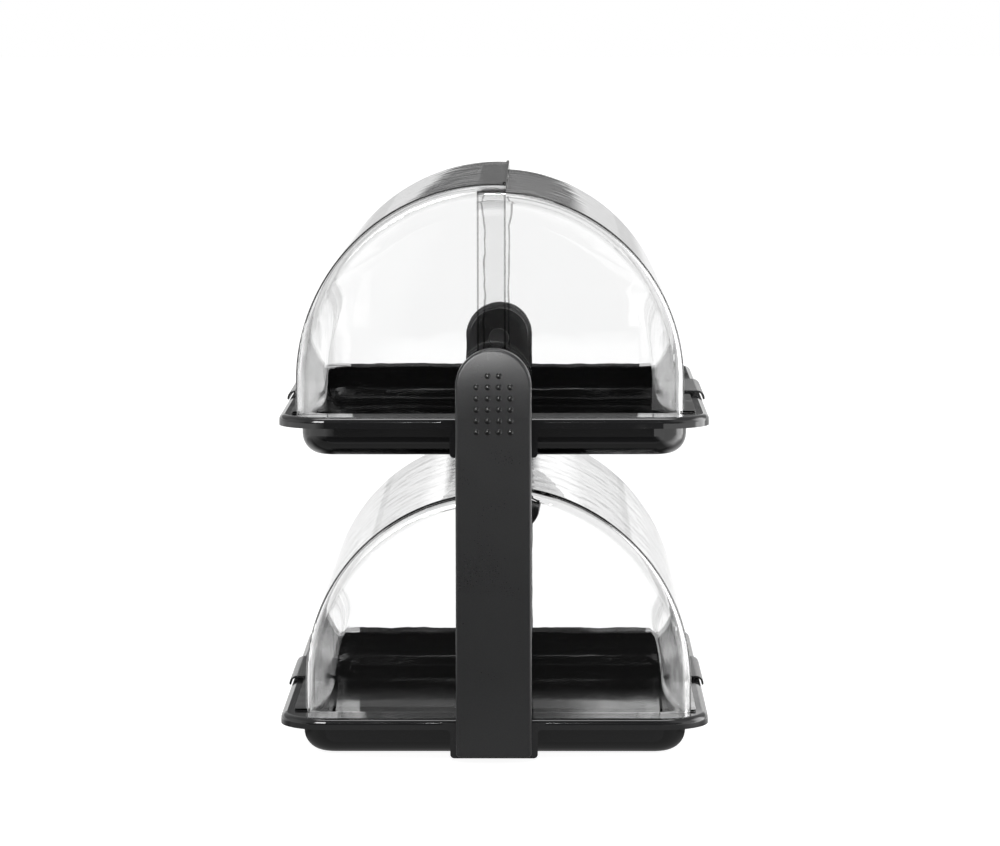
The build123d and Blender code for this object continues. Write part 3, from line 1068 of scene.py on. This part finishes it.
def near_floor(tree, settings, across, along):
    """Level of the floor about the display: paler on the right, dark in front, with a painted shadow
    below.
    """
    level = ranged(tree, across, *NEAR_REACH, *NEAR_LEVELS)
    in_front = ranged(tree, along, -0.5, -0.3, 1.0, 0.0)
    level = painted(tree, level, settings.front_level, in_front)
    aside = combined(tree, "ABSOLUTE", across, 0.0)
    ahead = combined(tree, "ABSOLUTE", along, 0.0)
    out = combined(
        tree,
        "MAXIMUM",
        combined(tree, "SUBTRACT", aside, UNDER_SHADOW_HALF[0]),
        combined(tree, "SUBTRACT", ahead, UNDER_SHADOW_HALF[1]),
    )
    # Painted shadow: the floor below the display turns dark where glossy and clear plastics see it
    level = painted(tree, level, UNDER_SHADOW_LEVEL, ranged(tree, out, 0.0, UNDER_SHADOW_BLUR, 1.0, 0.0))
    for share, middle, half, blur in FRONT_STRIPS:
        mask = strip(tree, along, middle, half, blur)
        level = painted(tree, level, settings.front_floor_level * share, mask)
    return level


def side_floors(tree, settings, across, along):
    """Levels and masks of the bright floor on the right, on the left and along both flanks."""
    slant = combined(tree, "MULTIPLY", combined(tree, "ADD", along, 0.2), 1.2)
    right = ranged(tree, combined(tree, "SUBTRACT", across, slant), 0.1, 0.5, 0.0, 1.0)
    right = combined(tree, "MULTIPLY", right, ranged(tree, across, 0.25, 0.4, 0.0, 1.0))
    right_level = ranged(
        tree, along, -0.4, -0.1, settings.right_level * 0.3, settings.right_level
    )
    left = combined(
        tree,
        "MULTIPLY",
        ranged(tree, across, -1.2, -0.4, 1.0, 0.0),
        ranged(tree, along, 0.3, 0.6, 1.0, 0.0),
    )
    outward = combined(tree, "ABSOLUTE", across, 0.0)
    flank = combined(
        tree,
        "MULTIPLY",
        ranged(tree, outward, 0.4, 0.8, 1.0, 0.0),
        ranged(tree, along, -0.15, 0.0, 0.0, 1.0),
    )
    flank = combined(tree, "MULTIPLY", ranged(tree, outward, 0.18, 0.24, 0.0, 1.0), flank)
    return (right_level, right), (settings.left_level, left), (settings.flank_level, flank)


def build_floor(settings):
    """Pale floor: white to the eye, and shaded by place for glossy and clear plastics."""
    half = settings.floor_width / 2
    floor = stage_mesh(
        "studio_floor",
        [(-half, -half, 0.0), (half, -half, 0.0), (half, half, 0.0), (-half, half, 0.0)],
        [(0, 1, 2, 3)],
    )
    material, tree, output = new_material("studio_floor")
    place = add_node(tree, "ShaderNodeSeparateXYZ", {"Vector": own_coordinates(tree)})
    grey = (FLOOR_GREY, FLOOR_GREY, FLOOR_GREY, 1.0)
    matt = add_node(tree, "ShaderNodeBsdfDiffuse", {"Color": grey})
    glow = add_node(
        tree,
        "ShaderNodeEmission",
        {
            "Color": (1.0, 1.0, 1.0, 1.0),
            "Strength": combined(
                tree, "MULTIPLY", seen_rays(tree, "Is Camera Ray"), FLOOR_GLOW
            ),
        },
    )
    pale = add_node(tree, "ShaderNodeAddShader", {0: matt.outputs[0], 1: glow.outputs[0]})
    across = place.outputs["X"]
    along = place.outputs["Y"]
    level = near_floor(tree, settings, across, along)
    for band_level, start, full in FLOOR_BANDS:
        level = painted(tree, level, band_level, ranged(tree, along, start, full, 0.0, 1.0))
    for side_level, mask in side_floors(tree, settings, across, along):
        level = painted(tree, level, side_level, mask)
    mirrored = combined(
        tree,
        "MULTIPLY",
        combined(tree, "SUBTRACT", 1.0, seen_rays(tree, "Is Transmission Ray")),
        ranged(tree, along, 0.2, 0.3, 0.0, 1.0),
    )
    greyer = combined(tree, "MULTIPLY", level, MIRRORED_SHARE)
    level = painted(tree, level, greyer, mirrored)
    shown = add_node(
        tree, "ShaderNodeEmission", {"Color": (1.0, 1.0, 1.0, 1.0), "Strength": level}
    )
    mixed = add_node(
        tree,
        "ShaderNodeMixShader",
        {
            0: seen_rays(tree, "Is Glossy Ray", "Is Transmission Ray"),
            1: pale.outputs[0],
            2: shown.outputs[0],
        },
    )
    tree.links.new(mixed.outputs[0], output.inputs["Surface"])
    material.cycles.emission_sampling = "NONE"
    floor.data.materials.append(material)


def build_world(settings):
    """Backdrop: white to the eye, plain for matt surfaces, and a studio for glossy ones."""
    world = bpy.data.worlds.new("studio_world")
    bpy.context.scene.world = world
    world.use_nodes = True
    world.cycles.sampling_method = "NONE"
    tree = world.node_tree
    tree.nodes.clear()
    output = tree.nodes.new("ShaderNodeOutputWorld")
    ahead = add_node(
        tree,
        "ShaderNodeSeparateXYZ",
        {"Vector": tree.nodes.new("ShaderNodeTexCoord").outputs["Generated"]},
    )
    # Turn to the right from straight behind the display, and rise above the horizon
    turn = combined(
        tree,
        "DEGREES",
        combined(tree, "ARCTAN2", ahead.outputs["X"], ahead.outputs["Y"]),
        0.0,
    )
    rise = combined(tree, "DEGREES", combined(tree, "ARCSINE", ahead.outputs["Z"], 0.0), 0.0)
    level = settings.front_level
    for patch_level, patch in WALL_PATCHES:
        level = painted(tree, level, patch_level, soft_patch(tree, turn, rise, *patch))
    sag = combined(tree, "MULTIPLY", combined(tree, "MULTIPLY", turn, turn), GAP_SAG)
    gap_rise = combined(tree, "ADD", rise, sag)
    for patch_level, patch in GAP_PATCHES:
        level = painted(tree, level, patch_level, soft_patch(tree, turn, gap_rise, *patch))
    for patch_level, patch in DEEP_PATCHES:
        level = painted(tree, level, patch_level, soft_patch(tree, turn, rise, *patch))
    mirrored = combined(tree, "SUBTRACT", 1.0, seen_rays(tree, "Is Transmission Ray"))
    for patch_level, patch in LAMP_PATCHES:
        mask = combined(tree, "MULTIPLY", mirrored, soft_patch(tree, turn, rise, *patch))
        level = painted(tree, level, patch_level, mask)
    studio = add_node(
        tree, "ShaderNodeBackground", {"Color": (1.0, 1.0, 1.0, 1.0), "Strength": level}
    )
    plain = add_node(
        tree,
        "ShaderNodeBackground",
        {
            "Color": (1.0, 1.0, 1.0, 1.0),
            "Strength": ranged(
                tree, seen_rays(tree, "Is Camera Ray"), 0.0, 1.0, PLAIN_LEVEL, 1.0
            ),
        },
    )
    mixed = add_node(
        tree,
        "ShaderNodeMixShader",
        {
            0: seen_rays(tree, "Is Glossy Ray", "Is Transmission Ray"),
            1: plain.outputs[0],
            2: studio.outputs[0],
        },
    )
    tree.links.new(mixed.outputs[0], output.inputs["Surface"])


def add_lamp(name, place, aim, width, height, power, shine):
    """Rectangular soft lamp aimed at a point, which glossy surfaces show only if it may shine."""
    data = bpy.data.lights.new(name, "AREA")
    data.shape = "RECTANGLE"
    data.size = width
    data.size_y = height
    data.energy = power
    lamp = bpy.data.objects.new(name, data)
    bpy.context.scene.collection.objects.link(lamp)
    lamp.location = place
    lamp.rotation_euler = (Vector(aim) - Vector(place)).to_track_quat("-Z", "Y").to_euler()
    lamp.visible_camera = False
    lamp.visible_transmission = False
    lamp.visible_glossy = shine


def build_camera(settings):
    """Camera at the settings' place, turn and lens."""
    yaw = settings.camera_yaw
    pitch = settings.camera_pitch
    roll = settings.camera_roll
    ahead = Vector(
        (
            math.sin(yaw) * math.cos(pitch),
            math.cos(yaw) * math.cos(pitch),
            -math.sin(pitch),
        )
    )
    level_right = Vector((math.cos(yaw), -math.sin(yaw), 0.0))
    level_up = level_right.cross(ahead)
    right = math.cos(roll) * level_right + math.sin(roll) * level_up
    up = math.cos(roll) * level_up - math.sin(roll) * level_right
    turn = Matrix((right, up, -ahead)).transposed().to_4x4()
    data = bpy.data.cameras.new("studio_camera")
    data.sensor_fit = "HORIZONTAL"
    data.sensor_width = 36.0
    data.lens = settings.camera_lens
    data.clip_end = 100.0
    camera = bpy.data.objects.new("studio_camera", data)
    bpy.context.scene.collection.objects.link(camera)
    camera.matrix_world = Matrix.Translation(settings.camera_place) @ turn
    bpy.context.scene.camera = camera


class BREADDISPLAY_OT_stage(bpy.types.Operator):
    """Set up the camera, the pale floor, the studio walls and the soft lamps."""

    bl_idname = "breaddisplay.stage"
    bl_label = "Set Up Stage"

    def execute(self, context):
        settings = context.scene.bread_stage
        build_camera(settings)
        build_floor(settings)
        build_world(settings)
        for name, place, aim, width, height, power, shine in LAMPS:
            add_lamp(name, place, aim, width, height, power * settings.lamp_level, shine)
        context.scene.view_settings.view_transform = "Standard"
        return {"FINISHED"}


# ------------------------------------------------------------------ panel
PIECE_OPERATORS = (
    BREADDISPLAY_OT_trays,
    BREADDISPLAY_OT_columns,
    BREADDISPLAY_OT_pivots,
    BREADDISPLAY_OT_hoods,
    BREADDISPLAY_OT_grips,
    BREADDISPLAY_OT_feet,
    BREADDISPLAY_OT_screws,
)


class BREADDISPLAY_PT_panel(bpy.types.Panel):
    """Settings and steps of the bread display."""

    bl_label = "Bread Display"
    bl_idname = "BREADDISPLAY_PT_panel"
    bl_space_type = "VIEW_3D"
    bl_region_type = "UI"
    bl_category = "Bread Display"

    def draw(self, context):
        scene = context.scene
        for group in (scene.bread_plastics, scene.bread_hoods, scene.bread_stage):
            box = self.layout.box()
            for name in group.bl_rna.properties.keys():
                if name not in ("rna_type", "name"):
                    box.prop(group, name)
        column = self.layout.column()
        for operator in (*PIECE_OPERATORS, BREADDISPLAY_OT_stage):
            column.operator(operator.bl_idname)


CLASSES = (
    PlasticSettings,
    HoodSettings,
    StageSettings,
    *PIECE_OPERATORS,
    BREADDISPLAY_OT_stage,
    BREADDISPLAY_PT_panel,
)


def register():
    for cls in CLASSES:
        bpy.utils.register_class(cls)
    bpy.types.Scene.bread_plastics = PointerProperty(type=PlasticSettings)
    bpy.types.Scene.bread_hoods = PointerProperty(type=HoodSettings)
    bpy.types.Scene.bread_stage = PointerProperty(type=StageSettings)


def unregister():
    del bpy.types.Scene.bread_stage
    del bpy.types.Scene.bread_hoods
    del bpy.types.Scene.bread_plastics
    for cls in reversed(CLASSES):
        bpy.utils.unregister_class(cls)


def main():
    """Build every piece and the stage in order."""
    register()
    for name in ("trays", "columns", "pivots", "hoods", "grips", "feet", "screws", "stage"):
        getattr(bpy.ops.breaddisplay, name)()
    bpy.context.view_layer.update()


if __name__ == "__main__":
    main()
